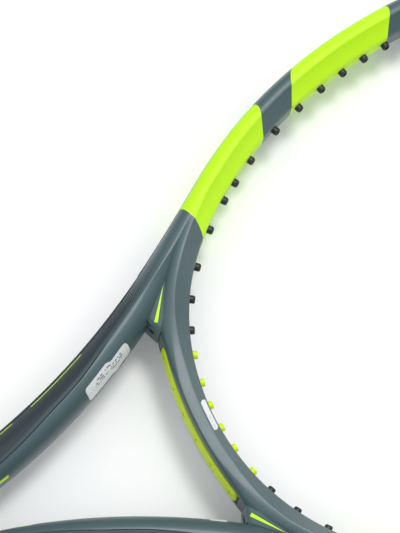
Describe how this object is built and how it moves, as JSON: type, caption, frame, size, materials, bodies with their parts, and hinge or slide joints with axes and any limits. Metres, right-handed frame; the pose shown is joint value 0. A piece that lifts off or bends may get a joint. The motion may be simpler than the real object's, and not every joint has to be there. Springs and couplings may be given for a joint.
{
  "type": "tennis racket frame",
  "caption": "Unstrung tennis racket frame: oval hoop, open throat with a bridge, plastic grommets along the hoop, wrapped handle with butt cap.",
  "frame": {"origin": "centre of the butt's end face", "axes": "+Y from the butt to the hoop's tip, +Z out of the front face of the string plane, +X to the right when seen from the front"},
  "size_m": [0.266, 0.6863, 0.0358],
  "materials": {
    "frame_paint": "satin slate paint over carbon fibre, with lime bands",
    "black_nylon": "moulded nylon",
    "lime_nylon": "moulded nylon",
    "pallet_foam": "rigid foam",
    "butt_plastic": "fine grain",
    "door_plastic": "semi gloss",
    "steel": "wire",
    "silicone": "cast",
    "grip_cover": "wrapped and perforated",
    "tape": "vinyl",
    "collar_rubber": "smooth",
    "label_foil": "satin silver film"
  },
  "bodies": {
    "frame": {"hairpin_tube": "frame_paint", "throat_yoke": "frame_paint", "bumper_guard": "black_nylon", "left_grommet_strip": "black_nylon", "right_grommet_strip": "black_nylon", "throat_grommet_strip": "lime_nylon", "left_corner_grommet": "black_nylon", "right_corner_grommet": "black_nylon", "front_pallet": "pallet_foam", "rear_pallet": "pallet_foam", "butt_cap": "butt_plastic", "butt_staples": "steel", "balance_plugs": "silicone", "base_grip": "grip_cover", "finishing_tape": "tape", "spec_label": "label_foil", "shaft_label": "label_foil", "yoke_label": "label_foil"},
    "door": {"butt_door": "door_plastic"},
    "collar": {"grip_collar": "collar_rubber"}
  },
  "joints": [
    {"name": "butt_door_pull", "type": "slide", "parent": "frame", "child": "door", "axis": [0, -1, 0], "range_m": [0, 0.015]},
    {"name": "collar_slide", "type": "slide", "parent": "frame", "child": "collar", "axis": [0, 1, 0], "range_m": [-0.06, 0.008]}
  ]
}
